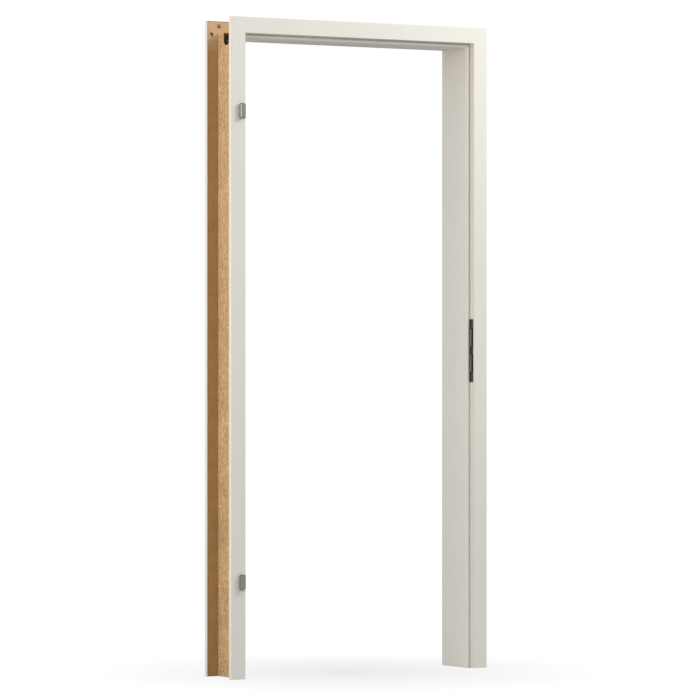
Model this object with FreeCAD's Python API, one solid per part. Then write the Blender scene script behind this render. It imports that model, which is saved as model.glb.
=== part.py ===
import FreeCAD, Part
import math
import os

# Timber door frame that wraps the end of a wall, for one rebated leaf hung on the left.
# A front frame of lining boards and front trims stands on the floor, and a rear casing slides in behind it.
# X runs across the doorway, Y from the front face into the wall, Z up from the floor. Millimetres.
# Each profile is drawn as (u, y): u is the distance from the lining face into the wall.

V = FreeCAD.Vector
LEFT = -1
RIGHT = 1
SIDES = {"left": LEFT, "right": RIGHT}

# Opening for the leaf
rebate_width = 841.0
rebate_height = 1983.0
rebate_depth = 25.0
stop_step = 14.5

# Lining boards
board_thickness = 22.0
board_width = 130.0
board_edge_radius = 1.2

# Front trims: a face in front, and a leg that is glued to the board's outer face
front_face_width = 50.0
front_thickness = 16.0
front_edge_radius = 2.0
leg_thickness = 16.0
leg_overlap = 20.0

# Rear trims: a face behind, and a tongue that is glued in its rebate and slides in the board's groove
rear_face_width = 53.5
rear_thickness = 16.0
rear_edge_radius = 2.0
tongue_inset = 6.5
tongue_thickness = 8.0
tongue_length = 28.0
tongue_seat = 8.0
tongue_edge_radius = 1.0
tongue_clearance = 0.3
tongue_end_clearance = 2.0
casing_gap = 1.0

# Rubber seals in the stop
seal_inset = 2.5
seal_width = 8.0
seal_base = 1.2
seal_bulge = 5.0
seal_radius = 2.4
seal_wall = 1.1
seal_foot_width = 3.0
seal_foot_depth = 6.5
seal_barb = 0.5
seal_groove_clearance = 0.1
seal_lift = 1.5

# Dowels in the mitres
board_dowel_diameter = 8.0
board_dowel_length = 24.0
board_dowel_inset = 6.5
board_dowel_depths = (14.0, 44.0)
casing_dowel_diameter = 6.0
casing_dowel_length = 18.0
casing_dowel_inset = 18.0
dowel_chamfer = 1.0
dowel_clearance = 0.1
dowel_end_clearance = 1.0

# Corner pockets milled in the outside of the boards, and the steel angles in them
pocket_width = 35.0
pocket_depth = 11.0
pocket_setback = 61.0
pocket_drop = 17.0
angle_thickness = 2.5
angle_clearance = 1.0
angle_bend_radius = 2.0
angle_screw_spacing = 17.0
angle_screw_drop = 13.0
angle_screw_diameter = 3.5
angle_screw_head = 7.0
angle_screw_length = 10.0

# Cams and tie bolt at the rear mitres
cam_diameter = 15.0
cam_depth = 12.0
cam_edge_distance = 14.4
cam_corner_distance = 42.4
cam_clearance = 0.2
cam_recess = 1.2
cam_slot_length = 9.0
cam_slot_width = 1.6
cam_slot_depth = 2.5
cam_rim = 1.0
cam_crescent_width = 4.5
cam_crescent_depth = 5.0
tie_depth = 6.5
tie_diameter = 5.0
tie_ball_diameter = 7.0
tie_clearance = 0.4

# Hinge frame parts
upper_hinge_drop = 239.0
lower_hinge_height = 299.0
hinge_setback = 17.0
hinge_clearance = 0.8
barrel_diameter = 15.0
barrel_length = 43.0
bush_diameter = 11.0
pin_bore_diameter = 8.0
bush_collar_diameter = 14.0
bush_collar_thickness = 1.0
bush_clearance = 0.05
lug_thickness = 3.5
lug_bend_radius = 4.5
lug_depth = 22.0
lug_edge_radius = 0.8
lug_clearance = 0.2
holder_depth = 13.0
holder_front = 4.5
holder_width = 15.5
holder_height = 40.0
holder_edge_radius = 1.0
holder_clearance = 0.3
hinge_screw_spacing = 24.0
hinge_screw_diameter = 6.0
hinge_screw_head = 11.0
hinge_screw_length = 13.0

# Strike plate and its boxes
strike_height = 1008.0
strike_length = 200.0
strike_width = 22.0
strike_front = 2.5
strike_thickness = 2.0
strike_corner_radius = 2.0
strike_clearance = 0.2
slot_front = 6.0
slot_width = 13.0
slot_length = 56.0
slot_corner_radius = 1.5
slot_offsets = {"latch_box": 42.0, "bolt_box": -40.5}
lip_thickness = 1.5
lip_depth = 3.5
lip_bend_radius = 1.2
box_wall = 1.5
box_margin = 0.4
box_depth = 17.0
box_clearance = 0.3
strike_screw_inset = 18.5
strike_screw_diameter = 4.0
strike_screw_head = 8.0
strike_screw_length = 16.0

# Screws of every size
screw_recess_width = 0.9
screw_recess_share = 0.3
screw_recess_depth_share = 0.22
screw_fit = 0.1
screw_tip = 3.0
screw_tip_share = 0.3

# Worked out from the sizes above
rebate_half = rebate_width / 2
lining_half = rebate_half - stop_step
lining_height = rebate_height - stop_step
board_rear = rebate_depth + board_width
rear_front = board_rear + casing_gap
rear_back = rear_front + rear_thickness
front_outer = stop_step + front_face_width
rear_outer = tongue_inset + rear_face_width
leg_outer = board_thickness + leg_thickness
widest = max(front_outer, rear_outer, leg_outer)
hinge_heights = {"upper": rebate_height - upper_hinge_drop, "lower": lower_hinge_height}
hinge_reach = hinge_clearance + barrel_diameter
middle_depth = (rear_back - hinge_reach) / 2
over = 10.0
same_point = 0.001


def rounded_face(corners, place):
    """Face inside a closed outline of (a, b, radius) corners, put in space by place(a, b)."""
    edges = []
    stretches = []
    count = len(corners)
    for index, (a, b, radius) in enumerate(corners):
        corner = V(a, b, 0)
        if radius == 0:
            stretches.append((corner, corner, corner, radius))
            continue
        before = V(*corners[index - 1][:2], 0) - corner
        after = V(*corners[(index + 1) % count][:2], 0) - corner
        half_angle = before.getAngle(after) / 2
        before.normalize()
        after.normalize()
        setback = radius / math.tan(half_angle)
        inward = before + after
        inward.normalize()
        middle = corner + inward * (radius / math.sin(half_angle) - radius)
        stretches.append((corner + before * setback, middle, corner + after * setback, radius))
    for index, (start, middle, end, radius) in enumerate(stretches):
        if radius > 0:
            through = [place(point.x, point.y) for point in (start, middle, end)]
            edges.append(Part.Arc(*through).toShape())
        following = stretches[(index + 1) % count][0]
        if not end.isEqual(following, same_point):
            edges.append(Part.makeLine(place(end.x, end.y), place(following.x, following.y)))
    return Part.Face(Part.Wire(edges))


def block(low, high):
    """Box between two opposite corners, given in any order."""
    near = V(*(min(pair) for pair in zip(low, high)))
    far = V(*(max(pair) for pair in zip(low, high)))
    size = far - near
    return Part.makeBox(size.x, size.y, size.z, near)


def turned(points):
    """Solid of revolution about Z from (radius, height) points."""
    path = [V(radius, 0, height) for radius, height in points]
    return Part.Face(Part.makePolygon(path + path[:1])).revolve(V(0, 0, 0), V(0, 0, 1), 360)


def aimed(shape, point, direction):
    """Turns a shape from +Z to a direction and moves its origin to a point."""
    placed = shape.copy()
    placed.Placement = FreeCAD.Placement(point, FreeCAD.Rotation(V(0, 0, 1), direction))
    return placed


def across_mitre(shape, side):
    """Mirrors a shape from a jamb's end to the head's end, in the plane of their mitre."""
    return shape.mirror(V(side * lining_half, 0, lining_height), V(side, 0, -1))


# Mitred lengths

def jamb_blank(side):
    """Space on the jamb's side of the mitre plane."""
    corners = [
        (lining_half - over, -over),
        (lining_half + widest + over, -over),
        (lining_half + widest + over, lining_height + widest + over),
        (lining_half - over, lining_height - over),
    ]
    path = [V(side * x, -over, z) for x, z in corners]
    return Part.Face(Part.makePolygon(path + path[:1])).extrude(V(0, rear_back + 2 * over, 0))


def head_blank():
    """Space above both mitre planes."""
    corners = [
        (lining_half - over, lining_height - over),
        (lining_half + widest + over, lining_height + widest + over),
        (-lining_half - widest - over, lining_height + widest + over),
        (over - lining_half, lining_height - over),
    ]
    path = [V(x, -over, z) for x, z in corners]
    return Part.Face(Part.makePolygon(path + path[:1])).extrude(V(0, rear_back + 2 * over, 0))


def jamb_length(corners, side, lift=0.0):
    """Profile run up a jamb from the floor and cut to the mitre."""
    face = rounded_face(corners, lambda u, y: V(side * (lining_half + u), y, lift))
    return face.extrude(V(0, 0, lining_height + widest - lift)).common(jamb_blank(side))


def head_length(corners):
    """The same profile run across the head between both mitres."""
    start = -lining_half - widest
    face = rounded_face(corners, lambda u, y: V(start, y, lining_height + u))
    return face.extrude(V(-2 * start, 0, 0)).common(head_blank())


# Profiles

def board_profile():
    foot_middle = seal_inset + seal_width / 2
    groove_half = seal_foot_width / 2 + seal_barb + seal_groove_clearance
    seal_floor = rebate_depth + seal_foot_depth + seal_groove_clearance
    tongue_floor = rear_front - tongue_length - tongue_end_clearance
    return [
        (0, rebate_depth, board_edge_radius),
        (foot_middle - groove_half, rebate_depth, 0),
        (foot_middle - groove_half, seal_floor, 0),
        (foot_middle + groove_half, seal_floor, 0),
        (foot_middle + groove_half, rebate_depth, 0),
        (board_thickness, rebate_depth, 0),
        (board_thickness, board_rear, 0),
        (tongue_inset + tongue_thickness + tongue_clearance, board_rear, 0),
        (tongue_inset + tongue_thickness + tongue_clearance, tongue_floor, 0),
        (tongue_inset - tongue_clearance, tongue_floor, 0),
        (tongue_inset - tongue_clearance, board_rear, 0),
        (0, board_rear, board_edge_radius),
    ]


def front_trim_profile():
    return [
        (stop_step, 0, front_edge_radius),
        (front_outer, 0, front_edge_radius),
        (front_outer, front_thickness, 0),
        (leg_outer, front_thickness, 0),
        (leg_outer, rebate_depth + leg_overlap, 0),
        (board_thickness, rebate_depth + leg_overlap, 0),
        (board_thickness, rebate_depth, 0),
        (stop_step, rebate_depth, 0),
    ]


def rear_trim_profile():
    seat_outer = tongue_inset + tongue_thickness
    return [
        (tongue_inset, rear_back, rear_edge_radius),
        (tongue_inset, rear_front + tongue_seat, 0),
        (seat_outer, rear_front + tongue_seat, 0),
        (seat_outer, rear_front, 0),
        (rear_outer, rear_front, 0),
        (rear_outer, rear_back, rear_edge_radius),
    ]


def tongue_profile():
    free_end = rear_front - tongue_length
    glued_end = rear_front + tongue_seat
    return [
        (tongue_inset, free_end, tongue_edge_radius),
        (tongue_inset, glued_end, 0),
        (tongue_inset + tongue_thickness, glued_end, 0),
        (tongue_inset + tongue_thickness, free_end, tongue_edge_radius),
    ]


def seal_profile():
    """Outline of the seal: a barbed foot, a flat base on the stop and a hollow bulge towards the leaf."""
    middle = seal_inset + seal_width / 2
    foot = seal_foot_width / 2
    barb = foot + seal_barb
    barb_start = rebate_depth + seal_foot_depth / 3
    barb_widest = rebate_depth + seal_foot_depth * 2 / 3
    return [
        (seal_inset, rebate_depth, 0),
        (seal_inset, rebate_depth - seal_bulge, seal_radius),
        (seal_inset + seal_width, rebate_depth - seal_bulge, seal_radius),
        (seal_inset + seal_width, rebate_depth, 0),
        (middle + foot, rebate_depth, 0),
        (middle + foot, barb_start, 0),
        (middle + barb, barb_widest, 0),
        (middle + foot, rebate_depth + seal_foot_depth, 0),
        (middle - foot, rebate_depth + seal_foot_depth, 0),
        (middle - barb, barb_widest, 0),
        (middle - foot, barb_start, 0),
        (middle - foot, rebate_depth, 0),
    ]


def seal_hollow_profile():
    low = seal_inset + seal_wall
    high = seal_inset + seal_width - seal_wall
    front = rebate_depth - seal_bulge + seal_wall
    back = rebate_depth - seal_base
    radius = seal_radius - seal_wall
    return [
        (low, back, 0),
        (low, front, radius),
        (high, front, radius),
        (high, back, 0),
    ]


# Screws

def screw_form(diameter, head, length, fit=0.0):
    """Countersunk screw pointing up +Z, its head's face at the origin. A fit makes it the hole's form."""
    shank = diameter / 2 + fit
    head_radius = head / 2 + fit
    head_height = head_radius - shank
    return turned([
        (0, 0),
        (head_radius, 0),
        (shank, head_height),
        (shank, length - screw_tip + fit),
        (shank * screw_tip_share, length + fit),
        (0, length + fit),
    ])


def screw(diameter, head, length):
    """Countersunk screw with a cross recess in its head."""
    reach = head * screw_recess_share
    depth = head * screw_recess_depth_share
    half = screw_recess_width / 2
    along = block((-reach, -half, 0), (reach, half, depth))
    across = block((-half, -reach, 0), (half, reach, depth))
    return screw_form(diameter, head, length).cut(along.fuse(across))


# Dowels

def dowel_form(diameter, length):
    """Dowel along Z with its middle at the origin and both ends chamfered."""
    radius = diameter / 2
    half = length / 2
    return turned([
        (0, -half),
        (radius - dowel_chamfer, -half),
        (radius, dowel_chamfer - half),
        (radius, half - dowel_chamfer),
        (radius - dowel_chamfer, half),
        (0, half),
    ])


def mitre_direction(side):
    return V(side, 0, -1)


def board_dowels(side, extra=0.0, extra_length=0.0):
    form = dowel_form(board_dowel_diameter + 2 * extra, board_dowel_length + 2 * extra_length)
    places = [
        V(side * (lining_half + board_dowel_inset), rebate_depth + depth, lining_height + board_dowel_inset)
        for depth in board_dowel_depths
    ]
    return Part.makeCompound([aimed(form, place, mitre_direction(side)) for place in places])


def casing_dowel(side, extra=0.0, extra_length=0.0):
    form = dowel_form(casing_dowel_diameter + 2 * extra, casing_dowel_length + 2 * extra_length)
    inset = tongue_inset + casing_dowel_inset
    place = V(side * (lining_half + inset), rear_front + rear_thickness / 2, lining_height + inset)
    return aimed(form, place, mitre_direction(side))


# Corner pockets and angles

def pocket_outline(clearance):
    """U-shaped outline on the board's outer face, open at the top, as (depth, height, radius) corners."""
    half = pocket_width / 2 - clearance
    middle = rebate_depth + pocket_setback + pocket_width / 2
    bottom = lining_height - pocket_drop + clearance
    top = lining_height + board_thickness + over
    return [
        (middle - half, top, 0),
        (middle - half, bottom, half),
        (middle + half, bottom, half),
        (middle + half, top, 0),
    ]


def pocket_leg(side, low, high, clearance):
    """The pocket's outline between two depths below the board's outer face, up to the mitre."""
    x = side * (lining_half + board_thickness - high)
    face = rounded_face(pocket_outline(clearance), lambda y, z: V(x, y, z))
    return face.extrude(V(side * (high - low), 0, 0)).common(jamb_blank(side))


def corner_pocket(side):
    leg = pocket_leg(side, -over, pocket_depth, 0)
    return leg.fuse(across_mitre(leg, side))


def corner_angle_screw_places(side):
    """Head places of the two screws in the angle's jamb leg."""
    middle = rebate_depth + pocket_setback + pocket_width / 2
    x = side * (lining_half + board_thickness - pocket_depth + angle_thickness)
    z = lining_height + board_thickness - pocket_depth - angle_screw_drop
    return [V(x, middle + end * angle_screw_spacing / 2, z) for end in (-1, 1)]


def corner_angle_screws(side, form):
    placed = [aimed(form, place, V(-side, 0, 0)) for place in corner_angle_screw_places(side)]
    return placed + [across_mitre(one, side) for one in placed]


def corner_angle(side):
    leg = pocket_leg(side, pocket_depth - angle_thickness, pocket_depth, angle_clearance)
    bent = leg.fuse(across_mitre(leg, side)).removeSplitter()
    form = screw_form(angle_screw_diameter, angle_screw_head, angle_screw_length, screw_fit)
    for hole in corner_angle_screws(side, form):
        bent = bent.cut(hole)
    corner_x = side * (lining_half + board_thickness - pocket_depth + angle_thickness)
    corner_z = lining_height + board_thickness - pocket_depth + angle_thickness
    ridge = [
        edge for edge in bent.Edges
        if all(math.hypot(end.X - corner_x, end.Z - corner_z) < same_point for end in edge.Vertexes)
    ]
    return bent.makeFillet(angle_bend_radius, ridge)


# Cams and tie bolt of the rear casing

def cam_place(side):
    """Where a jamb's cam opens in the wall side of the rear trim."""
    x = side * (lining_half + rear_outer - cam_edge_distance)
    return V(x, rear_front, lining_height + rear_outer - cam_corner_distance)


def head_cam_place(side):
    x = side * (lining_half + rear_outer - cam_corner_distance)
    return V(x, rear_front, lining_height + rear_outer - cam_edge_distance)


def tie_ends(side):
    inwards = V(0, tie_depth, 0)
    return cam_place(side) + inwards, head_cam_place(side) + inwards


def tie_bolt(side, extra=0.0):
    """Bolt from cam to cam with a ball at each end."""
    start, end = tie_ends(side)
    shank = Part.makeCylinder(tie_diameter / 2 + extra, (end - start).Length, start, end - start)
    for place in (start, end):
        shank = shank.fuse(Part.makeSphere(tie_ball_diameter / 2 + extra, place))
    return shank


def cam_pocket(place):
    return Part.makeCylinder(cam_diameter / 2, cam_depth + over, place - V(0, over, 0), V(0, 1, 0))


def cam(place, other, side):
    """Round cam: a turning slot and a crescent in its face, and room inside for the bolt's ball."""
    radius = cam_diameter / 2 - cam_clearance
    face = place + V(0, cam_recess, 0)
    body = Part.makeCylinder(radius, cam_depth - cam_clearance - cam_recess, face, V(0, 1, 0))
    towards = other - place
    towards.normalize()
    reach = cam_slot_length / 2
    slot = block((-reach, -cam_slot_width / 2, 0), (reach, cam_slot_width / 2, cam_slot_depth))
    slot.Placement = FreeCAD.Placement(face, FreeCAD.Rotation(V(1, 0, 0), towards, V(0, 1, 0)))
    outer = Part.makeCylinder(radius - cam_rim, cam_crescent_depth, face, V(0, 1, 0))
    inner = outer.copy()
    inner.translate(towards * -cam_crescent_width)
    return body.cut(slot).cut(outer.cut(inner)).cut(tie_bolt(side, tie_clearance))


def casing_cams(side):
    jamb_cam = cam(cam_place(side), head_cam_place(side), side)
    head_cam = cam(head_cam_place(side), cam_place(side), side)
    return Part.makeCompound([jamb_cam, head_cam])


def drill_rear_trim(trim, side):
    """Cam pockets, bolt hole and dowel hole at one upper corner."""
    cutters = [cam_pocket(cam_place(side)), cam_pocket(head_cam_place(side))]
    cutters.append(tie_bolt(side, tie_clearance))
    cutters.append(casing_dowel(side, dowel_clearance, dowel_end_clearance))
    for cutter in cutters:
        trim = trim.cut(cutter)
    return trim


# Hinge frame parts, on the left jamb

def hinge_point(w, y, z):
    """Point that lies w into the wood from the left rebate face."""
    return V(-rebate_half - w, y, z)


def lug_profile():
    front = -hinge_clearance - lug_thickness
    return [
        (hinge_setback, front, 0),
        (0, front, lug_bend_radius),
        (0, lug_depth, lug_edge_radius),
        (lug_thickness, lug_depth, lug_edge_radius),
        (lug_thickness, -hinge_clearance, lug_edge_radius),
        (hinge_setback, -hinge_clearance, 0),
    ]


def barrel_axis(height):
    return hinge_point(hinge_setback, -hinge_clearance - barrel_diameter / 2, height)


def hinge_screws(height, form):
    y = holder_front + holder_width / 2
    places = [hinge_point(0, y, height + end * hinge_screw_spacing / 2) for end in (-1, 1)]
    return [aimed(form, place, V(-1, 0, 0)) for place in places]


def hinge_screw_holes(height):
    form = screw_form(hinge_screw_diameter, hinge_screw_head, hinge_screw_length, screw_fit)
    return hinge_screws(height, form)


def hinge_frame_part(height):
    """Barrel in front of the trim, and a lug that bends round the trim's edge into the rebate face."""
    low = height - barrel_length / 2
    axis = barrel_axis(low)
    up = V(0, 0, 1)
    barrel = Part.makeCylinder(barrel_diameter / 2, barrel_length, axis, up)
    lug = rounded_face(lug_profile(), lambda w, y: hinge_point(w, y, low)).extrude(V(0, 0, barrel_length))
    part = barrel.fuse(lug).removeSplitter()
    part = part.cut(Part.makeCylinder(bush_diameter / 2 + bush_clearance, barrel_length, axis, up))
    for hole in hinge_screw_holes(height):
        part = part.cut(hole)
    return part


def hinge_bush(height):
    """Bearing bush with a collar on each end of the barrel."""
    half = barrel_length / 2
    end = half + bush_collar_thickness
    form = turned([
        (pin_bore_diameter / 2, -end),
        (bush_collar_diameter / 2, -end),
        (bush_collar_diameter / 2, -half),
        (bush_diameter / 2, -half),
        (bush_diameter / 2, half),
        (bush_collar_diameter / 2, half),
        (bush_collar_diameter / 2, end),
        (pin_bore_diameter / 2, end),
    ])
    return aimed(form, barrel_axis(height), V(0, 0, 1))


def hinge_holder(height):
    """Block let into the trim behind the lug, threaded for the two clamp screws."""
    corners = [
        (lug_thickness, holder_front, 0),
        (lug_thickness + holder_depth, holder_front, holder_edge_radius),
        (lug_thickness + holder_depth, holder_front + holder_width, holder_edge_radius),
        (lug_thickness, holder_front + holder_width, 0),
    ]
    low = height - holder_height / 2
    part = rounded_face(corners, lambda w, y: hinge_point(w, y, low)).extrude(V(0, 0, holder_height))
    for hole in hinge_screw_holes(height):
        part = part.cut(hole)
    return part


def cut_for_hinge(trim, height):
    """Recess for the lug and, deeper, the pocket for its holder."""
    lug_half = barrel_length / 2 + lug_clearance
    holder_half = holder_height / 2 + holder_clearance
    holder_end = holder_front + holder_width + holder_clearance
    recess = block(
        hinge_point(-over, -over, height - lug_half),
        hinge_point(lug_thickness, lug_depth + lug_clearance, height + lug_half),
    )
    pocket = block(
        hinge_point(lug_thickness, holder_front - holder_clearance, height - holder_half),
        hinge_point(lug_thickness + holder_depth + holder_clearance, holder_end, height + holder_half),
    )
    return trim.cut(recess).cut(pocket)


# Strike plate, on the right jamb

def strike_outline(front, width, middle, length, radius):
    """Rounded rectangle in the right rebate face, as (depth, height, radius) corners."""
    return [
        (front, middle - length / 2, radius),
        (front + width, middle - length / 2, radius),
        (front + width, middle + length / 2, radius),
        (front, middle + length / 2, radius),
    ]


def strike_solid(corners, start, depth):
    """Outline run into the wood, from a distance behind the rebate face."""
    face = rounded_face(corners, lambda y, z: V(rebate_half + start, y, z))
    return face.extrude(V(depth, 0, 0))


def strike_screws(form):
    y = strike_front + strike_width / 2
    reach = strike_length / 2 - strike_screw_inset
    places = [V(rebate_half, y, strike_height + end * reach) for end in (-1, 1)]
    return [aimed(form, place, V(1, 0, 0)) for place in places]


def strike_screw_holes():
    form = screw_form(strike_screw_diameter, strike_screw_head, strike_screw_length, screw_fit)
    return strike_screws(form)


def slot_outline(offset, extra, radius):
    middle = strike_height + offset
    return strike_outline(slot_front - extra, slot_width + 2 * extra, middle, slot_length + 2 * extra, radius)


def slot_lip(offset):
    """Edge of the plate that is folded into a slot, on the side away from the leaf."""
    rear = slot_front + slot_width
    corners = [
        (0, rear, 0),
        (0, rear - lip_thickness, lip_bend_radius),
        (lip_depth, rear - lip_thickness, 0),
        (lip_depth, rear, 0),
    ]
    length = slot_length - 2 * slot_corner_radius
    low = strike_height + offset - length / 2
    face = rounded_face(corners, lambda x, y: V(rebate_half + x, y, low))
    return face.extrude(V(0, 0, length))


def strike_plate():
    outline = strike_outline(strike_front, strike_width, strike_height, strike_length, strike_corner_radius)
    plate = strike_solid(outline, 0, strike_thickness)
    for offset in slot_offsets.values():
        slot = strike_solid(slot_outline(offset, 0, slot_corner_radius), 0, strike_thickness)
        plate = plate.cut(slot).fuse(slot_lip(offset))
    plate = plate.removeSplitter()
    for hole in strike_screw_holes():
        plate = plate.cut(hole)
    return plate


def keep_box(offset):
    """Plastic box behind one slot, open towards the leaf."""
    wall = box_margin + box_wall
    outside = slot_outline(offset, wall, slot_corner_radius + wall)
    inside = slot_outline(offset, box_margin, slot_corner_radius + box_margin)
    shell = strike_solid(outside, strike_thickness, box_depth)
    return shell.cut(strike_solid(inside, strike_thickness, box_depth - box_wall))


def cut_for_strike(trim):
    """Recess for the plate, pockets for the boxes and holes for the screws."""
    outline = strike_outline(
        strike_front - strike_clearance,
        strike_width + 2 * strike_clearance,
        strike_height,
        strike_length + 2 * strike_clearance,
        strike_corner_radius + strike_clearance,
    )
    trim = trim.cut(strike_solid(outline, -over, strike_thickness + over))
    extra = box_margin + box_wall + box_clearance
    for offset in slot_offsets.values():
        corners = slot_outline(offset, extra, slot_corner_radius + extra)
        trim = trim.cut(strike_solid(corners, strike_thickness, box_depth + box_clearance))
    for hole in strike_screw_holes():
        trim = trim.cut(hole)
    return trim


# Whole pieces

def jamb_board(side):
    board = jamb_length(board_profile(), side)
    return board.cut(corner_pocket(side)).cut(board_dowels(side, dowel_clearance, dowel_end_clearance))


def head_board():
    board = head_length(board_profile())
    for side in SIDES.values():
        board = board.cut(corner_pocket(side)).cut(board_dowels(side, dowel_clearance, dowel_end_clearance))
    return board


def drill_boards(boards, side):
    """Pilot holes for the angle's screws."""
    form = screw_form(angle_screw_diameter, angle_screw_head, angle_screw_length, screw_fit)
    for hole in corner_angle_screws(side, form):
        boards = boards.cut(hole)
    return boards


def seal(length_of, *where):
    return length_of(seal_profile(), *where).cut(length_of(seal_hollow_profile(), *where))


def build_front_frame():
    parts = {}
    head = head_board()
    for name, side in SIDES.items():
        parts[f"jamb_board_{name}"] = drill_boards(jamb_board(side), side)
        head = drill_boards(head, side)
        parts[f"seal_{name}"] = seal(jamb_length, side, seal_lift)
        parts[f"mitre_dowels_{name}"] = board_dowels(side)
        parts[f"corner_angle_{name}"] = corner_angle(side)
        form = screw(angle_screw_diameter, angle_screw_head, angle_screw_length)
        parts[f"corner_angle_screws_{name}"] = Part.makeCompound(corner_angle_screws(side, form))
    parts["head_board"] = head
    parts["seal_head"] = seal(head_length)
    parts["front_trim_head"] = head_length(front_trim_profile())
    left_trim = jamb_length(front_trim_profile(), LEFT)
    for height in hinge_heights.values():
        left_trim = cut_for_hinge(left_trim, height)
    parts["front_trim_left"] = left_trim
    parts["front_trim_right"] = cut_for_strike(jamb_length(front_trim_profile(), RIGHT))
    return parts


def build_hinges():
    parts = {}
    for name, height in hinge_heights.items():
        parts[f"{name}_hinge_frame_part"] = hinge_frame_part(height)
        parts[f"{name}_hinge_bush"] = hinge_bush(height)
        parts[f"{name}_hinge_holder"] = hinge_holder(height)
        form = screw(hinge_screw_diameter, hinge_screw_head, hinge_screw_length)
        parts[f"{name}_hinge_screws"] = Part.makeCompound(hinge_screws(height, form))
    return parts


def build_strike():
    parts = {"strike_plate": strike_plate()}
    form = screw(strike_screw_diameter, strike_screw_head, strike_screw_length)
    parts["strike_plate_screws"] = Part.makeCompound(strike_screws(form))
    for name, offset in slot_offsets.items():
        parts[name] = keep_box(offset)
    return parts


def build_rear_casing():
    parts = {}
    head = head_length(rear_trim_profile())
    for name, side in SIDES.items():
        parts[f"rear_trim_{name}"] = drill_rear_trim(jamb_length(rear_trim_profile(), side), side)
        parts[f"casing_tongue_{name}"] = jamb_length(tongue_profile(), side)
        head = drill_rear_trim(head, side)
        parts[f"casing_cams_{name}"] = casing_cams(side)
        parts[f"casing_tie_bolt_{name}"] = tie_bolt(side)
        parts[f"casing_dowel_{name}"] = casing_dowel(side)
    parts["rear_trim_head"] = head
    parts["casing_tongue_head"] = head_length(tongue_profile())
    return parts


def write_parts(parts):
    """One file a piece, with the origin on the floor under the middle of the whole frame."""
    os.makedirs("parts", exist_ok=True)
    for name, shape in parts.items():
        placed = shape.copy()
        placed.translate(V(0, -middle_depth, 0))
        placed.exportStep(f"parts/{name}.step")


write_parts({**build_front_frame(), **build_hinges(), **build_strike(), **build_rear_casing()})
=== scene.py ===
import math
import bpy
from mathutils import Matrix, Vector


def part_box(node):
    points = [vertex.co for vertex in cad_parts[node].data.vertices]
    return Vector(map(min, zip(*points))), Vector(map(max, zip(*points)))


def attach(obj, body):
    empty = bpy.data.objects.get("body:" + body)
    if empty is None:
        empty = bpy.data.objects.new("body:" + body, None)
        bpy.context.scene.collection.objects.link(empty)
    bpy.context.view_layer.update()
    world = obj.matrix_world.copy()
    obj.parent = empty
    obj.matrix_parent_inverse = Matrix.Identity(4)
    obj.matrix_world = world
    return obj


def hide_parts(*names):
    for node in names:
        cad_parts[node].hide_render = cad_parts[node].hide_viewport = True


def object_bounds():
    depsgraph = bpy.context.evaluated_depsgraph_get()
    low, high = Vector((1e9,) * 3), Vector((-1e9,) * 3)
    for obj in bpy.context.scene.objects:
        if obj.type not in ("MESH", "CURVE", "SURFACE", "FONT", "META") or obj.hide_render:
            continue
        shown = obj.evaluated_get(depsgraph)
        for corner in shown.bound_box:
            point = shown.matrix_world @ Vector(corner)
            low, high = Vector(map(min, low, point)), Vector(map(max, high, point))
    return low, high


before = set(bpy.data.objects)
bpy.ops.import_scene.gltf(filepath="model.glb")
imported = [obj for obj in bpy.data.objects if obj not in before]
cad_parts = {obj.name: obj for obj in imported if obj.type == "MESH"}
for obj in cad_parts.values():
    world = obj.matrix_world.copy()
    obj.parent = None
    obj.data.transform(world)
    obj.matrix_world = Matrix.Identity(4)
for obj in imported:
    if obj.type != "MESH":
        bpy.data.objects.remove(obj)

cad_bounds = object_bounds()


# Camera
# It stands well to the left of the doorway and looks level at half the frame's height, so that the
# raw outside of the left jamb and the white inside of the right jamb both show.

low = Vector(cad_bounds[0])
high = Vector(cad_bounds[1])
frame_height = high.z - low.z
image_side = 696
frame_height_in_image = 652
camera_distance = 13.0
camera_turn = math.radians(32)
aim_to_the_left = 0.051
sensor_width = 36.0

sideways = Vector((math.cos(camera_turn), -math.sin(camera_turn), 0))
forwards = Vector((math.sin(camera_turn), math.cos(camera_turn), 0))
aim = Vector((0, low.y, frame_height / 2)) - sideways * aim_to_the_left
camera_data = bpy.data.cameras.new("Camera")
camera_data.sensor_width = sensor_width
camera_data.lens = sensor_width * frame_height_in_image / image_side * camera_distance / frame_height
camera = bpy.data.objects.new("Camera", camera_data)
camera.location = aim - forwards * camera_distance
camera.rotation_euler = (math.pi / 2, 0, -camera_turn)
bpy.context.scene.collection.objects.link(camera)
bpy.context.scene.camera = camera
bpy.context.scene.view_settings.view_transform = "Standard"


# Studio light
# A large soft lamp hangs high on the right in front of the frame. A wide warm one stands on the
# left, nearly level with the wall: it lights the raw outside of the left jamb, and through the
# doorway it grazes the white inside of the right one.

def studio_lamp(name, place, aimed_at, width, height, watts, colour):
    bpy.ops.object.light_add(type="AREA", location=place)
    lamp = bpy.context.object
    lamp.name = name
    lamp.data.shape = "RECTANGLE"
    lamp.data.size = width
    lamp.data.size_y = height
    lamp.data.energy = watts
    lamp.data.color = colour
    lamp.rotation_euler = (Vector(aimed_at) - Vector(place)).to_track_quat("-Z", "Y").to_euler()


studio_lamp("High_Right_Lamp", place=(1.6, -1.7, 3.2), aimed_at=(0.1, 0, 1.3), width=1.3, height=1.3,
            watts=45, colour=(1.0, 0.935, 0.885))
studio_lamp("Left_Lamp", place=(-3.2, -0.5, 1.7), aimed_at=(-0.45, 0, 1.15), width=1.7, height=1.6,
            watts=44, colour=(1.0, 0.79, 0.71))


# Room and floor
# The room is a plain white studio: rays from the camera see it as paper white, and its grey light
# fills the frame from all round. The floor is pale and matt and keeps the frame's soft shadow.

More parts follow.
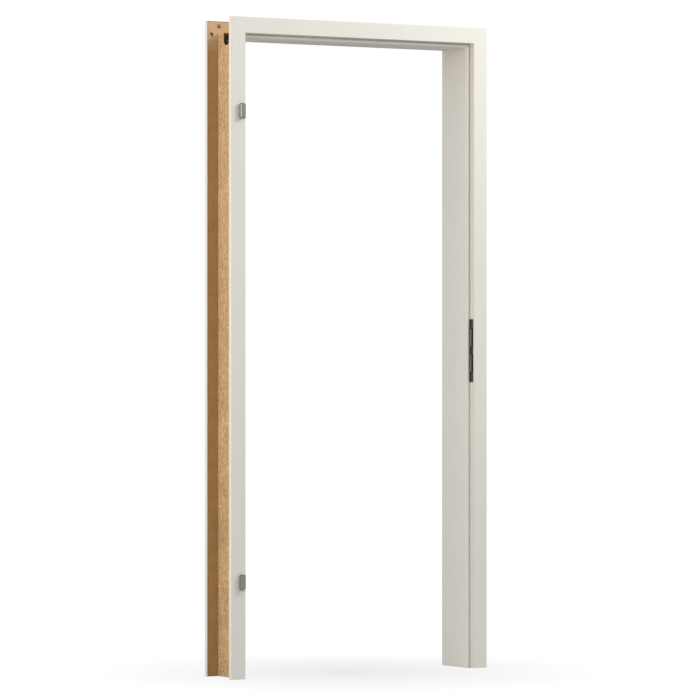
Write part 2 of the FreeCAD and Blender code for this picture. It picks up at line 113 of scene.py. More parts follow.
room_light = (0.705, 0.745, 0.74, 1)
room_light_strength = 1.0
paper_white = (1, 1, 1, 1)
floor_colour = (0.31, 0.31, 0.305, 1)
floor_half = 30.0
floor_shadow_share = 0.25
floor_shadow_reach = 0.8


def add_node(tree, kind, inputs=None, **settings):
    """A shader node with its settings and its inputs, each a value or the socket that feeds it."""
    made = tree.nodes.new(kind)
    for setting, value in settings.items():
        setattr(made, setting, value)
    for socket, value in (inputs or {}).items():
        if isinstance(value, bpy.types.NodeSocket):
            tree.links.new(value, made.inputs[socket])
        else:
            made.inputs[socket].default_value = value
    return made


def math_node(tree, operation, first, *others):
    """The operation on the first value and the next, then on that result and each further value."""
    result = first
    for other in others:
        result = add_node(tree, "ShaderNodeMath", {0: result, 1: other}, operation=operation).outputs[0]
    return result


def spread(tree, value, over, onto=(0.0, 1.0)):
    """Maps a value from one range onto another and keeps it inside that."""
    return add_node(tree, "ShaderNodeMapRange", {
        "Value": value, "From Min": over[0], "From Max": over[1], "To Min": onto[0], "To Max": onto[1],
    }).outputs["Result"]


def seen_rays(tree):
    """1 for rays that come from the camera, a shiny face or a clear one, and 0 for the others."""
    rays = add_node(tree, "ShaderNodeLightPath").outputs
    kinds = ("Is Camera Ray", "Is Glossy Ray", "Is Transmission Ray")
    return math_node(tree, "MAXIMUM", *(rays[kind] for kind in kinds))


room = bpy.data.worlds.new("Studio_Room")
bpy.context.scene.world = room
room.use_nodes = True
tree = room.node_tree
tree.nodes.clear()
lit = add_node(tree, "ShaderNodeBackground", {"Color": room_light, "Strength": room_light_strength})
seen = add_node(tree, "ShaderNodeBackground", {"Color": paper_white, "Strength": 1.0})
chosen = add_node(tree, "ShaderNodeMixShader", {0: seen_rays(tree), 1: lit.outputs[0], 2: seen.outputs[0]})
add_node(tree, "ShaderNodeOutputWorld", {"Surface": chosen.outputs[0]})

bpy.ops.object.select_all(action="DESELECT")
bpy.ops.mesh.primitive_plane_add(size=2 * floor_half, location=(0, 0, 0))
floor = bpy.context.object
floor.name = "Studio_Floor"

floor_paper = bpy.data.materials.new("Studio_Paper")
floor_paper.use_nodes = True
tree = floor_paper.node_tree
tree.nodes.clear()
position = add_node(tree, "ShaderNodeTexCoord").outputs["Object"]
away = add_node(tree, "ShaderNodeVectorMath", {0: position}, operation="LENGTH").outputs["Value"]
fade = spread(tree, away, over=(0.0, floor_shadow_reach), onto=(1 - floor_shadow_share, 1.0))
seen_share = math_node(tree, "MULTIPLY", seen_rays(tree), fade)
matt = add_node(tree, "ShaderNodeBsdfDiffuse", {"Color": floor_colour})
glow = add_node(tree, "ShaderNodeEmission", {"Color": paper_white, "Strength": 1.0})
mixed = add_node(tree, "ShaderNodeMixShader", {0: seen_share, 1: matt.outputs[0], 2: glow.outputs[0]})
add_node(tree, "ShaderNodeOutputMaterial", {"Surface": mixed.outputs[0]})
floor.data.materials.append(floor_paper)


# Lining boards
# Three chipboard boards line the wall's end. A thin white satin foil wraps the inside, the front
# edge and the lip of the rear edge. The outside, the grooves and the milled corner pockets are raw
# chipboard, and the pockets' walls and floor are painted dark brown as painted shade.

def tone(red, green, blue):
    """A colour as a swatch gives it, from 0 to 255, made linear for the shader."""
    shares = [value / 255 for value in (red, green, blue)]
    return (*(s / 12.92 if s <= 0.04045 else ((s + 0.055) / 1.055) ** 2.4 for s in shares), 1)


def shader_group(name, inputs, outputs):
    """An empty node group with named sockets, and its input and output nodes."""
    group = bpy.data.node_groups.new(name, "ShaderNodeTree")
    kinds = {"value": "NodeSocketFloat", "colour": "NodeSocketColor", "vector": "NodeSocketVector"}
    for socket, kind in inputs.items():
        group.interface.new_socket(name=socket, in_out="INPUT", socket_type=kinds[kind])
    for socket, kind in outputs.items():
        group.interface.new_socket(name=socket, in_out="OUTPUT", socket_type=kinds[kind])
    return group, group.nodes.new("NodeGroupInput").outputs, group.nodes.new("NodeGroupOutput").inputs


def use_group(tree, group, **inputs):
    """The group's outputs in a material. Underscores in an input's name stand for spaces."""
    named = {socket.replace("_", " "): value for socket, value in inputs.items()}
    return add_node(tree, "ShaderNodeGroup", named, node_tree=group).outputs


def blend_colours(tree, share, first, second):
    return add_node(tree, "ShaderNodeMix", {0: share, 6: first, 7: second}, data_type="RGBA").outputs[2]


def blend_values(tree, share, first, second):
    return add_node(tree, "ShaderNodeMix", {0: share, 2: first, 3: second}, data_type="FLOAT").outputs[0]


def brightened(tree, colour, factor):
    made = add_node(tree, "ShaderNodeHueSaturation", {"Value": factor, "Color": colour})
    return made.outputs["Color"]


def stretched(tree, position, x=1, y=1, z=1):
    """A position for a pattern. A factor under 1 draws the pattern out along that axis."""
    made = add_node(tree, "ShaderNodeVectorMath", {0: position, 1: (x, y, z)}, operation="MULTIPLY")
    return made.outputs[0]


def noise(tree, position, scale, detail=3.0, roughness=0.5):
    made = add_node(tree, "ShaderNodeTexNoise", {
        "Vector": position, "Scale": scale, "Detail": detail, "Roughness": roughness,
    })
    return made.outputs["Fac"]


def cells(tree, position, scale):
    """A pattern of uneven cells, each with a colour of its own."""
    return add_node(tree, "ShaderNodeTexVoronoi", {"Vector": position, "Scale": scale}).outputs


board_low, board_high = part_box("jamb_board_right")
lining_half = board_low.x
lining_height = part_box("head_board")[0].z

group, given, out = shader_group("Distance From Lining", {"Position": "vector"},
                                 {"Into Wall": "value", "Depth": "value", "Height": "value"})
axes = add_node(group, "ShaderNodeSeparateXYZ", {0: given["Position"]}).outputs
from_middle = add_node(group, "ShaderNodeMath", {0: axes["X"]}, operation="ABSOLUTE").outputs[0]
from_jamb = math_node(group, "SUBTRACT", from_middle, lining_half)
from_head = math_node(group, "SUBTRACT", axes["Z"], lining_height)
group.links.new(math_node(group, "MAXIMUM", from_jamb, from_head), out["Into Wall"])
group.links.new(axes["Y"], out["Depth"])
group.links.new(axes["Z"], out["Height"])
distance_from_lining = group

dusty_white = tone(196, 190, 178)
gloss_change = 0.12
film_reflectance = 0.15

group, given, out = shader_group(
    "White Film",
    {"Position": "vector", "Colour": "colour", "Mottle": "value", "Gloss": "value", "Ripple": "value"},
    {"Colour": "colour", "Roughness": "value", "Relief": "value"},
)
clouds = noise(group, given["Position"], scale=3.2, detail=4)
ripples = noise(group, stretched(group, given["Position"], z=0.4), scale=420, detail=2)
specks = noise(group, given["Position"], scale=36, detail=5, roughness=0.65)
toned = brightened(group, given["Colour"], spread(group, clouds, over=(0.3, 0.7), onto=(0.985, 1.012)))
dulled = math_node(group, "MULTIPLY", spread(group, specks, over=(0.62, 0.8)), given["Mottle"])
duller = math_node(group, "MULTIPLY", clouds, gloss_change)
group.links.new(blend_colours(group, dulled, toned, dusty_white), out["Colour"])
group.links.new(math_node(group, "ADD", given["Gloss"], duller), out["Roughness"])
group.links.new(math_node(group, "MULTIPLY", ripples, given["Ripple"]), out["Relief"])
white_film = group

flake_warp = 0.012
darkest_chip = 0.62

group, given, out = shader_group(
    "Chipboard",
    {"Position": "vector", "Light": "colour", "Middle": "colour", "Dark": "colour"},
    {"Colour": "colour", "Relief": "value"},
)
warped = add_node(group, "ShaderNodeTexNoise", {"Vector": given["Position"], "Scale": 70.0, "Detail": 2.0})
shifted = add_node(group, "ShaderNodeVectorMath", {
    0: warped.outputs["Color"], 1: (flake_warp, flake_warp, flake_warp), 2: given["Position"],
}, operation="MULTIPLY_ADD").outputs[0]
flakes = cells(group, stretched(group, shifted, z=0.45), scale=210.0)
chips = cells(group, stretched(group, shifted, y=0.5), scale=520.0)
flake_tone = add_node(group, "ShaderNodeSeparateColor", {0: flakes["Color"]}).outputs[0]
chip_tone = add_node(group, "ShaderNodeSeparateColor", {0: chips["Color"]}).outputs[1]
pale_share = spread(group, flake_tone, over=(0.45, 0.95))
body_colour = blend_colours(group, pale_share, given["Middle"], given["Light"])
dark_share = math_node(group, "MULTIPLY", spread(group, chip_tone, over=(0.74, 0.9)), darkest_chip)
speckled = blend_colours(group, dark_share, body_colour, given["Dark"])
patches = spread(group, noise(group, given["Position"], scale=9), over=(0.35, 0.7), onto=(0.9, 1.06))
group.links.new(brightened(group, speckled, patches), out["Colour"])
group.links.new(blend_values(group, 0.5, flakes["Distance"], chips["Distance"]), out["Relief"])
chipboard = group


def new_material(name):
    """A material with nothing in it yet, and its tree and Object coordinates."""
    material = bpy.data.materials.new(name)
    material.use_nodes = True
    material.node_tree.nodes.clear()
    position = add_node(material.node_tree, "ShaderNodeTexCoord").outputs["Object"]
    return material, material.node_tree, position


def finish_material(tree, colour, roughness, relief, relief_depth, **sockets):
    """Ends a material in its Principled shader, with the relief as a bump."""
    bump = add_node(tree, "ShaderNodeBump", {"Height": relief, "Strength": 1.0, "Distance": relief_depth})
    inputs = {"Base Color": colour, "Roughness": roughness, "Normal": bump.outputs[0]}
    inputs.update({socket.replace("_", " "): value for socket, value in sockets.items()})
    shader = add_node(tree, "ShaderNodeBsdfPrincipled", inputs)
    add_node(tree, "ShaderNodeOutputMaterial", {"Surface": shader.outputs[0]})


def finish_covered(tree, covered, film, raw_colour, raw_relief, raw_roughness, relief_depth):
    """Ends a material that is white film where covered is 1 and raw board elsewhere."""
    finish_material(
        tree,
        blend_colours(tree, covered, raw_colour, film["Colour"]),
        blend_values(tree, covered, raw_roughness, film["Roughness"]),
        blend_values(tree, covered, raw_relief, film["Relief"]),
        relief_depth,
        Specular_IOR_Level=film_reflectance,
    )


def dress(material, *names):
    """Gives a material to CAD nodes."""
    for name in names:
        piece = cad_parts[name]
        piece.data.materials.clear()
        piece.data.materials.append(material)


foil_white = tone(243, 241, 234)
foil_thickness = 0.0005
chip_light = tone(230, 202, 158)
chip_middle = tone(208, 176, 130)
chip_dark = tone(128, 96, 62)
chip_relief = 0.0012
chip_roughness = 0.88
# Painted shade: the dark brown of the milled corner pockets' walls and floor.
pocket_shade_brown = tone(58, 38, 22)
pocket_shade_share = 0.93
board_outer = board_high.x - lining_half
groove_lip = 0.0063
angle_low, angle_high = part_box("corner_angle_right")
pocket_room = 0.0013
pocket_floor = 0.0105
pocket_lowest = 1.9

board_material, tree, position = new_material("Lining_Board")
where = use_group(tree, distance_from_lining, Position=position)
film = use_group(tree, white_film, Position=position, Colour=foil_white, Mottle=0.05, Gloss=0.58,
                 Ripple=0.015)
raw = use_group(tree, chipboard, Position=position, Light=chip_light, Middle=chip_middle, Dark=chip_dark)

# The foil is on the inside face, the front edge and the lip of the rear edge.
from_front = math_node(tree, "SUBTRACT", where["Depth"], board_low.y)
from_face = math_node(tree, "MINIMUM", where["Into Wall"], from_front)
on_faces = math_node(tree, "LESS_THAN", from_face, foil_thickness)
from_rear = math_node(tree, "SUBTRACT", board_high.y, where["Depth"])
at_rear_edge = math_node(tree, "LESS_THAN", from_rear, foil_thickness)
before_groove = math_node(tree, "LESS_THAN", where["Into Wall"], groove_lip)
on_lip = math_node(tree, "MULTIPLY", at_rear_edge, before_groove)
foiled = math_node(tree, "MAXIMUM", on_faces, on_lip)

# Painted shade darkens the wood near the corners, on the pocket's walls and floor but not on the outside.
painted_pocket_shade = math_node(
    tree, "MULTIPLY",
    math_node(tree, "GREATER_THAN", where["Depth"], angle_low.y - pocket_room),
    math_node(tree, "LESS_THAN", where["Depth"], angle_high.y + pocket_room),
    math_node(tree, "LESS_THAN", where["Into Wall"], board_outer - foil_thickness),
    math_node(tree, "GREATER_THAN", where["Into Wall"], pocket_floor),
    math_node(tree, "GREATER_THAN", where["Height"], pocket_lowest),
)
darkened = math_node(tree, "MULTIPLY", painted_pocket_shade, pocket_shade_share)
wood_colour = blend_colours(tree, darkened, raw["Colour"], pocket_shade_brown)

finish_covered(tree, foiled, film, wood_colour, raw["Relief"], chip_roughness, chip_relief)
dress(board_material, "jamb_board_left", "jamb_board_right", "head_board")


# Front trims
# L-shaped fibreboard trims, glued to the boards with a leg behind. White satin paint covers the
# front, the outer edge and the rebate face, and the side towards the wall is raw brown board.

group, given, out = shader_group(
    "Fibreboard",
    {"Position": "vector", "Colour": "colour", "Rim Colour": "colour", "Rim Distance": "value",
     "Rim Width": "value"},
    {"Colour": "colour", "Relief": "value"},
)
fibres = noise(group, stretched(group, given["Position"], z=0.12), scale=620, detail=4, roughness=0.6)
felt = noise(group, given["Position"], scale=24, detail=4, roughness=0.6)
shade = spread(group, blend_values(group, 0.45, fibres, felt), over=(0.32, 0.68), onto=(0.84, 1.12))
toned = brightened(group, given["Colour"], shade)
# The rim colour is blended in near the rim; the trims use it for painted shade along their outer edge.
rim_widths = math_node(group, "DIVIDE", given["Rim Distance"], given["Rim Width"])
rim_share = spread(group, rim_widths, over=(0.55, 1.0), onto=(0.85, 0.0))
group.links.new(blend_colours(group, rim_share, toned, given["Rim Colour"]), out["Colour"])
group.links.new(fibres, out["Relief"])
fibreboard = group

paint_white = tone(238, 236, 229)
paint_thickness = 0.0005
stop_step = 0.0145
front_low, front_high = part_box("front_trim_right")
front_outer = front_high.x - lining_half
fibre_relief = 0.0004
fibre_roughness = 0.85
raw_brown = tone(187, 154, 107)
# Painted shade: the darker brown blended into the raw board along a trim's outer edge.
edge_shade_brown = tone(104, 74, 46)
edge_shade_width = 0.003


def raw_fibreboard(tree, position, colour, to_outer):
    """Raw fibreboard with painted shade darkening it along its outer edge."""
    return use_group(tree, fibreboard, Position=position, Colour=colour, Rim_Colour=edge_shade_brown,
                     Rim_Distance=to_outer, Rim_Width=edge_shade_width)


def finish_painted(tree, position, from_face, raw):
    """Ends a material that is white satin paint on its faces and raw fibreboard behind them."""
    paint = use_group(tree, white_film, Position=position, Colour=paint_white, Mottle=0.04, Gloss=0.5,
                      Ripple=0.05)
    painted = math_node(tree, "LESS_THAN", from_face, paint_thickness)
    finish_covered(tree, painted, paint, raw["Colour"], raw["Relief"], fibre_roughness, fibre_relief)


front_trim_material, tree, position = new_material("Front_Trim")
where = use_group(tree, distance_from_lining, Position=position)
to_outer = math_node(tree, "SUBTRACT", front_outer, where["Into Wall"])
raw = raw_fibreboard(tree, position, raw_brown, to_outer)
from_front = math_node(tree, "SUBTRACT", where["Depth"], front_low.y)
from_step = math_node(tree, "SUBTRACT", where["Into Wall"], stop_step)
from_face = math_node(tree, "MINIMUM", from_front, from_step, to_outer)
finish_painted(tree, position, from_face, raw)
dress(front_trim_material, "front_trim_left", "front_trim_right", "front_trim_head")


# Rear trims
# The same fibreboard behind the wall: white on the back and both edges, raw brown towards the
# wall. Painted light makes the raw brown paler across the head, and painted shade darkens it along
# the outer edge.

rear_low, rear_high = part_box("rear_trim_right")
rear_inner = rear_low.x - lining_half
rear_outer = rear_high.x - lining_half
# Painted light: the raw brown turns paler towards the top, across the head.
painted_light_brown = tone(214, 182, 146)
painted_light_start = 1.93
painted_light_end = 1.985

rear_trim_material, tree, position = new_material("Rear_Trim")
where = use_group(tree, distance_from_lining, Position=position)
to_outer = math_node(tree, "SUBTRACT", rear_outer, where["Into Wall"])
painted_light_share = spread(tree, where["Height"], over=(painted_light_start, painted_light_end))
raw = raw_fibreboard(tree, position, blend_colours(tree, painted_light_share, raw_brown, painted_light_brown), to_outer)
from_back = math_node(tree, "SUBTRACT", rear_high.y, where["Depth"])
from_inner = math_node(tree, "SUBTRACT", where["Into Wall"], rear_inner)
from_face = math_node(tree, "MINIMUM", from_back, from_inner, to_outer)
finish_painted(tree, position, from_face, raw)
dress(rear_trim_material, "rear_trim_left", "rear_trim_right", "rear_trim_head")


# Casing tongues
# Strips of the same fibreboard, glued in the rear trims' rebates, that slide in the boards'
# grooves. The face towards the doorway is white and shows when the casing is drawn out.

tongue_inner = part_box("casing_tongue_right")[0].x - lining_half
no_outer_edge = 1.0

tongue_material, tree, position = new_material("Casing_Tongue")
where = use_group(tree, distance_from_lining, Position=position)
raw = raw_fibreboard(tree, position, raw_brown, no_outer_edge)
from_inner = math_node(tree, "SUBTRACT", where["Into Wall"], tongue_inner)
finish_painted(tree, position, from_inner, raw)
dress(tongue_material, "casing_tongue_left", "casing_tongue_right", "casing_tongue_head")


# Seals
# Hollow white rubber seals, pushed with a barbed foot into the groove in the stop. The rubber is
# matt and a little warm, with fine lines along it from the die and a bloom of dust.

rubber_white = tone(247, 245, 238)
die_line_depth = 0.00006

seal_material, tree, position = new_material("Seal_Rubber")
film = use_group(tree, white_film, Position=position, Colour=rubber_white, Mottle=0.2, Gloss=0.6, Ripple=0)
die_lines = noise(tree, stretched(tree, position, z=0.004), scale=2600, detail=2)
finish_material(tree, film["Colour"], film["Roughness"], die_lines, die_line_depth)
dress(seal_material, "seal_left", "seal_right", "seal_head")


# Dowels
# Beech dowels, glued across the mitres of the boards and of the rear casing. The grain runs along
# each dowel, so across the corner, with the short dark flecks of beech.

beech_colour = tone(214, 172, 124)
beech_dark = tone(160, 110, 68)
beech_grain_depth = 0.00015
across_corner = math.radians(45)
grain_stretch = 0.06

dowel_material, tree, position = new_material("Beech")
turned_position = add_node(tree, "ShaderNodeMapping", {
    "Vector": position, "Rotation": (0, across_corner, 0), "Scale": (grain_stretch, 1, 1),
}).outputs[0]
grain = noise(tree, turned_position, scale=900, detail=4, roughness=0.6)
flecks = spread(tree, noise(tree, turned_position, scale=2600, detail=2), over=(0.66, 0.74))
grain_share = spread(tree, grain, over=(0.35, 0.7), onto=(0.0, 0.5))
grained = blend_colours(tree, grain_share, beech_colour, beech_dark)
flecked = blend_colours(tree, flecks, grained, beech_dark)
roughness = spread(tree, grain, over=(0.3, 0.7), onto=(0.55, 0.7))
finish_material(tree, flecked, roughness, grain, beech_grain_depth)
dress(dowel_material, "mitre_dowels_left", "mitre_dowels_right", "casing_dowel_left", "casing_dowel_right")


# Corner angles
# Bent strips of steel in the milled corner pockets, dark from phosphating, with rubbed edges. Four
# wood screws a side clamp each angle to the jamb board and the head board.

group, given, out = shader_group(
    "Metal Finish",
    {"Position": "vector", "Colour": "colour", "Worn Colour": "colour", "Wear": "value", "Lines": "vector",
     "Gloss": "value"},
    {"Colour": "colour", "Roughness": "value", "Relief": "value"},
)
lined = add_node(group, "ShaderNodeVectorMath", {0: given["Position"], 1: given["Lines"]},
                 operation="MULTIPLY").outputs[0]
lines = noise(group, lined, scale=3000, roughness=0.6)
clouds = noise(group, given["Position"], scale=130, detail=4, roughness=0.6)
rubbed = math_node(group, "MULTIPLY", spread(group, clouds, over=(0.52, 0.72)), given["Wear"])
toned = brightened(group, given["Colour"], spread(group, lines, over=(0.3, 0.7), onto=(0.9, 1.08)))
duller = spread(group, lines, over=(0.3, 0.7), onto=(-0.04, 0.08))
group.links.new(blend_colours(group, rubbed, toned, given["Worn Colour"]), out["Colour"])
group.links.new(math_node(group, "ADD", given["Gloss"], duller), out["Roughness"])
group.links.new(lines, out["Relief"])
metal_finish = group

line_depth = 0.00002
metal_skin = 0.0003
along_height = (1, 1, 0.03)
all_ways = (1, 1, 1)


def metal_material(name, colour, worn, wear, lines, gloss, metallic=1.0, inside=None):
    """A metal finish. inside gives an axis, the face's place on it and the colour of all deeper down."""
    material, tree, position = new_material(name)
    finish = use_group(tree, metal_finish, Position=position, Colour=colour, Worn_Colour=worn, Wear=wear,
                       Lines=lines, Gloss=gloss)
    shown = finish["Colour"]
    if inside:
        axis, face, inner_colour = inside
        place_on_axis = add_node(tree, "ShaderNodeSeparateXYZ", {0: position}).outputs[axis]
        deeper = math_node(tree, "GREATER_THAN", place_on_axis, face + metal_skin)
        shown = blend_colours(tree, deeper, shown, inner_colour)
    finish_material(tree, shown, finish["Roughness"], finish["Relief"], line_depth, Metallic=metallic)
    return material


phosphate_material = metal_material("Phosphated_Steel", tone(52, 46, 38), tone(110, 104, 94), wear=0.35,
                                    lines=all_ways, gloss=0.45, metallic=0.7)
dress(phosphate_material, "corner_angle_left", "corner_angle_right")


# Corner angle screws
# Zinc-plated countersunk wood screws, two in each leg of an angle, with a rolled thread, a point and
# a cross recess pressed into the head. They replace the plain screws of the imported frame.

screw_sides = 32
steps_a_turn = 16
tip_length = 0.003
tip_share = 0.3
tip_steps = 12
recess_reach_share = 0.56
recess_width = 0.0009
recess_depth_share = 0.4
recess_narrowing = 0.45
facing_up = 0.9
smooth_below = math.radians(35)


def select_parts(piece, kind, chosen):
    """Puts the piece in edit mode with only the chosen parts selected, of the kind FACE or VERT."""
    bpy.context.view_layer.objects.active = piece
    bpy.ops.object.mode_set(mode="EDIT")
    bpy.ops.mesh.select_mode(type=kind)
    bpy.ops.mesh.select_all(action="DESELECT")
    bpy.ops.object.mode_set(mode="OBJECT")
    parts = {"FACE": piece.data.polygons, "VERT": piece.data.vertices}
    for part in parts[kind]:
        part.select = chosen(part)
    bpy.ops.object.mode_set(mode="EDIT")


def combine(piece, other, operation):
    """Joins another closed piece to this one or cuts it out, and removes the other."""
    joint = piece.modifiers.new(operation, "BOOLEAN")
    joint.operation = operation
    joint.object = other
    joint.solver = "EXACT"
    bpy.context.view_layer.objects.active = piece
    bpy.ops.object.modifier_apply(modifier=joint.name)
    bpy.data.objects.remove(other)


def screw_blank(head_radius, core_radius, length):
    """A countersunk head and a pointed core up the Z axis. The middle of the head's face is at 0."""
    head_height = head_radius - core_radius
    bpy.ops.object.select_all(action="DESELECT")
    bpy.ops.mesh.primitive_cone_add(vertices=screw_sides, radius1=head_radius, radius2=core_radius,
                                    depth=head_height, location=(0, 0, head_height / 2))
    blank = bpy.context.object
    bpy.ops.object.transform_apply(location=True, rotation=True, scale=True)
    select_parts(blank, "FACE", lambda face: face.normal.z > facing_up)
    straight = length - tip_length - head_height
    bpy.ops.mesh.extrude_region_move(TRANSFORM_OT_translate={"value": (0, 0, straight)})
    bpy.ops.mesh.extrude_region_move(TRANSFORM_OT_translate={"value": (0, 0, tip_length)})
    bpy.ops.transform.resize(value=(tip_share, tip_share, 1), center_override=(0, 0, length))
    bpy.ops.object.mode_set(mode="OBJECT")
    return blank


def cut_cross_recess(screw, head_radius):
    """Two tapered slots crossed in the head's face."""
    size = (head_radius * recess_reach_share, recess_width / 2, head_radius * recess_depth_share)
    for turn in (0, math.pi / 2):
        bpy.ops.object.select_all(action="DESELECT")
        bpy.ops.mesh.primitive_cube_add(size=2, location=(0, 0, 0), rotation=(0, 0, turn), scale=size)
        slot = bpy.context.object
        bpy.ops.object.transform_apply(location=True, rotation=True, scale=True)
        select_parts(slot, "FACE", lambda face: face.normal.z > facing_up)
        bpy.ops.transform.resize(value=(recess_narrowing, recess_narrowing, 1), center_override=(0, 0, 0))
        bpy.ops.object.mode_set(mode="OBJECT")
        combine(screw, slot, "DIFFERENCE")


def wound_thread(core_radius, tooth, pitch, start, length):
    """A three-sided ridge wound round the core, closed at both ends and drawn in along the tip."""
    bpy.ops.object.select_all(action="DESELECT")
    bpy.ops.mesh.primitive_circle_add(vertices=3, radius=tooth, location=(core_radius, 0, start),
                                      rotation=(math.pi / 2, math.pi / 2, 0))
    ridge = bpy.context.object
    bpy.ops.object.transform_apply(location=True, rotation=True, scale=True)
    winding = ridge.modifiers.new("Winding", "SCREW")
    winding.screw_offset = pitch
    winding.iterations = int((length - start - tooth) / pitch)
    winding.steps = steps_a_turn
    winding.render_steps = steps_a_turn
    bpy.ops.object.modifier_apply(modifier=winding.name)
    select_parts(ridge, "VERT", lambda point: True)
    bpy.ops.mesh.fill_holes(sides=3)
    bpy.ops.mesh.normals_make_consistent(inside=False)
    # Each step narrows all that lies past its level, so the ridge follows the cone of the tip.
    for step in range(tip_steps):
        level = length - tip_length * (1 - (step + 0.5) / tip_steps)
        wide = 1 - (1 - tip_share) * step / tip_steps
        narrow = 1 - (1 - tip_share) * (step + 1) / tip_steps
        select_parts(ridge, "VERT", lambda point: point.co.z > level)
        bpy.ops.transform.resize(value=(narrow / wide, narrow / wide, 1), center_override=(0, 0, level))
    bpy.ops.object.mode_set(mode="OBJECT")
    return ridge


def make_screw(head_radius, thread_radius, core_share, pitch, length):
    """A screw up the Z axis, with its thread from under the head to the point."""
    core_radius = thread_radius * core_share
    screw = screw_blank(head_radius, core_radius, length)
    start = head_radius - core_radius + pitch / 2
    ridge = wound_thread(core_radius, thread_radius - core_radius, pitch, start, length)
    combine(screw, ridge, "UNION")
    cut_cross_recess(screw, head_radius)
    return screw


def set_screws(name, screw, places, material, node):
    """One piece from copies of a screw, each at its head's place and pointing its way."""
    copies = []
    for place, direction in places:
        made = screw.copy()
        made.data = screw.data.copy()
        bpy.context.scene.collection.objects.link(made)
        made.location = place
        made.rotation_euler = Vector(direction).to_track_quat("Z", "Y").to_euler()
        copies.append(made)
    bpy.ops.object.select_all(action="DESELECT")
    for made in copies:
        made.select_set(True)
    bpy.context.view_layer.objects.active = copies[0]
    bpy.ops.object.join()
    bpy.ops.object.transform_apply(location=True, rotation=True, scale=True)
    bpy.ops.object.shade_smooth_by_angle(angle=smooth_below)
    screws = bpy.context.object
    screws.name = name
    screws.data.name = name
    screws.data.materials.append(material)
    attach(screws, "front_frame")
    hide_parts(node)


zinc_material = metal_material("Zinc_Plating", tone(196, 196, 192), tone(150, 148, 140), wear=0.4,
                               lines=all_ways, gloss=0.3)
angle_screw_head = 0.0035
angle_screw = make_screw(angle_screw_head, thread_radius=0.00175, core_share=0.7, pitch=0.0014, length=0.01)
for side, name in ((-1, "left"), (1, "right")):
    low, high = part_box(f"corner_angle_screws_{name}")
    outer_x = high.x if side > 0 else low.x
    inner_x = low.x + angle_screw_head if side > 0 else high.x - angle_screw_head
    rows = (low.y + angle_screw_head, high.y - angle_screw_head)
    # Two screws point inwards into the jamb board, and two point down into the head board.
    places = [((outer_x, y, low.z + angle_screw_head), (-side, 0, 0)) for y in rows]
    places += [((inner_x, y, high.z), (0, 0, -1)) for y in rows]
    set_screws(f"angle_wood_screws_{name}", angle_screw, places, zinc_material,
               f"corner_angle_screws_{name}")
bpy.data.objects.remove(angle_screw)


# Hinge frame parts
# A steel barrel with a bent lug, satin nickel plated, let into the left trim and clamped by two
# fine-threaded screws to a steel holder in the wood. A dark nylon bush with two collars lines the
# barrel.

nickel_material = metal_material("Satin_Nickel", tone(132, 131, 126), tone(98, 96, 90), wear=0.2,
                                 lines=along_height, gloss=0.36)
holder_material = metal_material("Holder_Steel", tone(150, 148, 144), tone(110, 104, 96), wear=0.5,
                                 lines=all_ways, gloss=0.4)
hinge_names = ("upper_hinge", "lower_hinge")
dress(nickel_material, *(f"{name}_frame_part" for name in hinge_names))
dress(holder_material, *(f"{name}_holder" for name in hinge_names))

clamp_screw_head = 0.0055
clamp_screw = make_screw(clamp_screw_head, thread_radius=0.003, core_share=0.84, pitch=0.001, length=0.013)
for name in hinge_names:
    low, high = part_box(f"{name}_screws")
    y = (low.y + high.y) / 2
    places = [((high.x, y, z), (-1, 0, 0)) for z in (low.z + clamp_screw_head, high.z - clamp_screw_head)]
    set_screws(f"{name}_clamp_screws", clamp_screw, places, zinc_material, f"{name}_screws")
bpy.data.objects.remove(clamp_screw)

grain_dulling = 0.15

group, given, out = shader_group(
    "Moulded Plastic",
    {"Position": "vector", "Colour": "colour", "Dust Colour": "colour", "Dust": "value", "Gloss": "value"},
    {"Colour": "colour", "Roughness": "value", "Relief": "value"},
)
grain = noise(group, given["Position"], scale=2400, detail=2)
specks = noise(group, given["Position"], scale=160, detail=4)
dusty = math_node(group, "MULTIPLY", spread(group, specks, over=(0.5, 0.75)), given["Dust"])
duller = math_node(group, "MULTIPLY", grain, grain_dulling)
group.links.new(blend_colours(group, dusty, given["Colour"], given["Dust Colour"]), out["Colour"])
group.links.new(math_node(group, "ADD", given["Gloss"], duller), out["Roughness"])
group.links.new(grain, out["Relief"])
moulded_plastic = group

plastic_grain_depth = 0.00003
plastic_dust = tone(150, 142, 130)


def plastic_material(name, colour, dust, gloss, reflectance):
    material, tree, position = new_material(name)
    skin = use_group(tree, moulded_plastic, Position=position, Colour=colour, Dust_Colour=plastic_dust,
                     Dust=dust, Gloss=gloss)
    finish_material(tree, skin["Colour"], skin["Roughness"], skin["Relief"], plastic_grain_depth,
                    Specular_IOR_Level=reflectance)
    return material


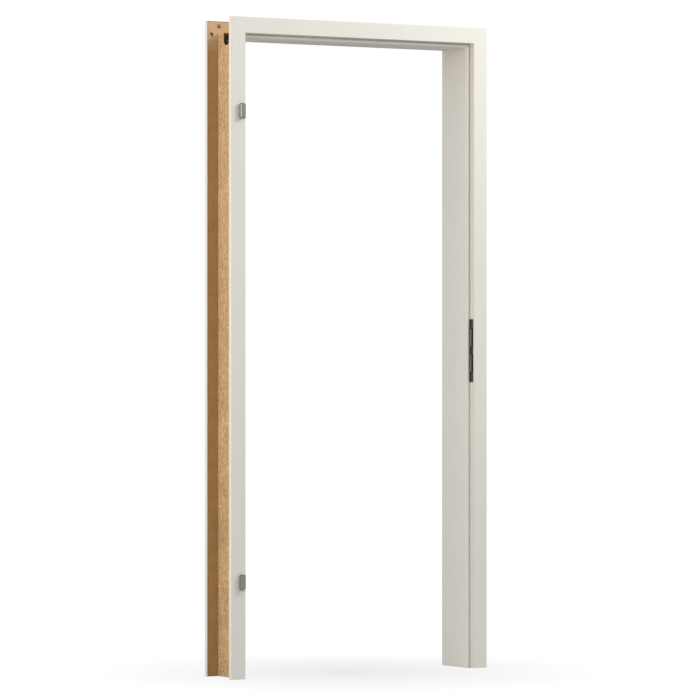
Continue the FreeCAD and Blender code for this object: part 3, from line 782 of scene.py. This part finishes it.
bush_material = plastic_material("Bush_Nylon", tone(40, 40, 38), dust=0.1, gloss=0.45, reflectance=0.3)
dress(bush_material, *(f"{name}_bush" for name in hinge_names))


# Strike plate
# A plate let into the right rebate face, with a slot for the latch and one for the bolt. Its dark
# grey is a painted reflection on the metal, and its punched edges are bright, partly bare metal and
# partly painted highlight. Two darkened wood screws hold it, and a black plastic box closes the hole
# behind each slot.

# Painted reflection: the plate's dark grey. Partly painted highlight: the near-white of the cut edges
# inside the slots.
plate_reflection_grey = tone(82, 80, 74)
rubbed_plate_grey = tone(116, 114, 107)
cut_edge_highlight_grey = tone(224, 222, 214)
plate_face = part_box("strike_plate")[0].x
strike_material = metal_material("Strike_Plate_Grey", plate_reflection_grey, rubbed_plate_grey, wear=0.45,
                                 lines=along_height, gloss=0.4, metallic=0.6,
                                 inside=("X", plate_face, cut_edge_highlight_grey))
screw_grey_material = metal_material("Darkened_Screw", tone(118, 116, 108), tone(160, 158, 150), wear=0.5,
                                     lines=all_ways, gloss=0.35, metallic=0.8)
box_material = plastic_material("Box_Plastic", tone(10, 10, 10), dust=0.03, gloss=0.8, reflectance=0.05)
dress(strike_material, "strike_plate")
dress(box_material, "latch_box", "bolt_box")

plate_screw_head = 0.004
plate_screw = make_screw(plate_screw_head, thread_radius=0.002, core_share=0.7, pitch=0.0018, length=0.016)
low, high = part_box("strike_plate_screws")
y = (low.y + high.y) / 2
places = [((low.x, y, z), (1, 0, 0)) for z in (low.z + plate_screw_head, high.z - plate_screw_head)]
set_screws("strike_plate_wood_screws", plate_screw, places, screw_grey_material,
           "strike_plate_screws")
bpy.data.objects.remove(plate_screw)


# Cams and tie bolts of the rear casing
# Die-cast cams sit in blind holes on both sides of each upper mitre. Turned a half turn, they
# draw on the balls of a zinc-plated bolt and pull the mitre shut.

cam_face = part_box("casing_cams_left")[0].y
# Painted shade: all that lies deeper than the cams' faces is dark brown, standing in for the shade in their
# holes and slots.
cam_hollow_shade_brown = tone(44, 28, 16)
# The cams' warm tan is partly the cast metal's own colour and partly painted reflection of the brown wood
# round them.
cast_material = metal_material("Cast_Cam", tone(168, 146, 118), tone(120, 96, 70), wear=0.5,
                               lines=all_ways, gloss=0.5, inside=("Y", cam_face, cam_hollow_shade_brown))
dress(cast_material, "casing_cams_left", "casing_cams_right")
dress(zinc_material, "casing_tie_bolt_left", "casing_tie_bolt_right")
